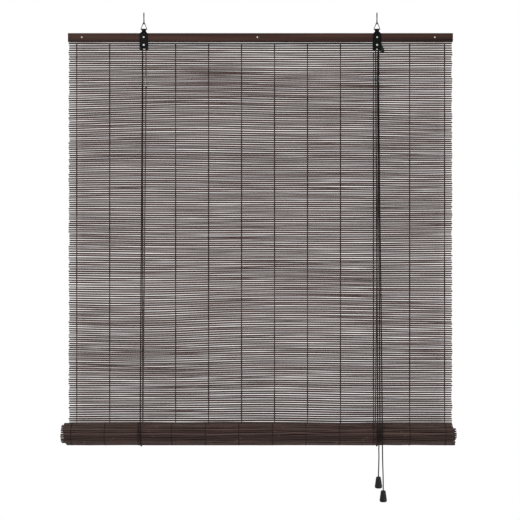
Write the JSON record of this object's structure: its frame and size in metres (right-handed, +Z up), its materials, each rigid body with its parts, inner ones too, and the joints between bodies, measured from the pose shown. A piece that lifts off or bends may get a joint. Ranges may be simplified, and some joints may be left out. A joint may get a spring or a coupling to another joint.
{
  "type": "bamboo roll up blind",
  "caption": "Roll up blind of dark stained bamboo reeds on a wooden head rail, hung from two hooks, with lift cords, cord lock and tassels.",
  "frame": {"origin": "midway between the two ceiling hooks, on the ceiling surface, in the plane of the hook shanks", "axes": "+X to the right seen from the front, +Y from the front to the back, +Z up along the hook shanks"},
  "size_m": [1.014, 0.0796, 1.261],
  "materials": {
    "bamboo": "stained bamboo reed, satin",
    "mahogany": "stained hardwood, satin lacquer",
    "slat_wood": "stained softwood, matt",
    "black_steel": "black lacquered sheet steel",
    "wire": "bright drawn wire",
    "bright_steel": "nickel plated",
    "nylon": "black moulded nylon",
    "cord": "dark brown braided cord",
    "thread": "dark brown twisted thread",
    "clear_plastic": "clear moulded plastic",
    "black_plastic": "black moulded plastic, satin"
  },
  "bodies": {
    "hangers": {"hook_left": "wire", "hook_right": "wire", "ring_left": "wire", "ring_right": "wire"},
    "headrail": {"front_batten": "mahogany", "rear_batten": "mahogany", "rail_screws": "bright_steel", "strap_screws": "bright_steel", "roller_rivets": "bright_steel", "strap_left": "black_steel", "strap_right": "black_steel", "cam_pin": "black_steel", "reed_mat": "bamboo", "warp_threads": "thread", "cross_cord": "cord", "right_roller_cord": "cord", "cord_knots": "cord", "screw_eye_left": "wire", "screw_eye_right": "wire", "breakaway_left": "clear_plastic", "breakaway_right": "clear_plastic", "left_front_run": "cord", "left_rear_top": "cord", "left_rear_run": "cord", "left_tail_upper": "cord", "right_front_run": "cord", "right_rear_top": "cord", "right_rear_run": "cord", "right_tail_upper": "cord"},
    "sling": {"left_roll_loop": "cord", "left_tail_lower": "cord", "right_roll_loop": "cord", "right_tail_lower": "cord"},
    "roll": {"mat_roll": "bamboo", "bottom_slat": "slat_wood"},
    "lock_cam": {"lock_cam": "black_plastic"},
    "roller_left": {"roller_left": "nylon"},
    "roller_right": {"roller_right": "nylon"},
    "tassel_left": {"tassel_left": "black_plastic", "left_tail_end": "cord"},
    "tassel_right": {"tassel_right": "black_plastic", "right_tail_end": "cord"}
  },
  "joints": [
    {"name": "blind_swing", "type": "hinge", "parent": "hangers", "child": "headrail", "pos_m": [0, 0, -0.0306], "axis": [1, 0, 0], "range_deg": [-30, 30]},
    {"name": "roll_lift", "type": "slide", "parent": "headrail", "child": "sling", "axis": [0, 0, 1], "range_m": [0, 0.86], "deforming": ["reed_mat", "warp_threads", "left_front_run", "right_front_run", "left_tail_upper", "right_tail_upper", "left_rear_run", "right_rear_run"]},
    {"name": "roll_turn", "type": "hinge", "parent": "sling", "child": "roll", "pos_m": [0, -0.0255, -1.077], "axis": [-1, 0, 0], "range_deg": [0, 1440.5]},
    {"name": "lock_release", "type": "hinge", "parent": "headrail", "child": "lock_cam", "pos_m": [0.3112, 0, -0.0665], "axis": [0, -1, 0], "range_deg": [0, 35]},
    {"name": "roller_left_spin", "type": "hinge", "parent": "headrail", "child": "roller_left", "pos_m": [-0.303, 0, -0.071], "axis": [0, 1, 0], "continuous": true},
    {"name": "roller_right_spin", "type": "hinge", "parent": "headrail", "child": "roller_right", "pos_m": [0.303, 0, -0.071], "axis": [0, 1, 0], "continuous": true},
    {"name": "pull_left", "type": "slide", "parent": "sling", "child": "tassel_left", "axis": [0, 0, 1], "range_m": [-2.58, 0], "deforming": ["left_tail_lower"]},
    {"name": "pull_right", "type": "slide", "parent": "sling", "child": "tassel_right", "axis": [0, 0, 1], "range_m": [-2.58, 0], "deforming": ["right_tail_lower"]}
  ],
  "couplings": [
    {"joint": "roll_turn", "follows": "roll_lift", "rad_per_m": 29.224},
    {"joint": "pull_left", "follows": "roll_lift", "ratio": -3},
    {"joint": "pull_right", "follows": "roll_lift", "ratio": -3}
  ]
}
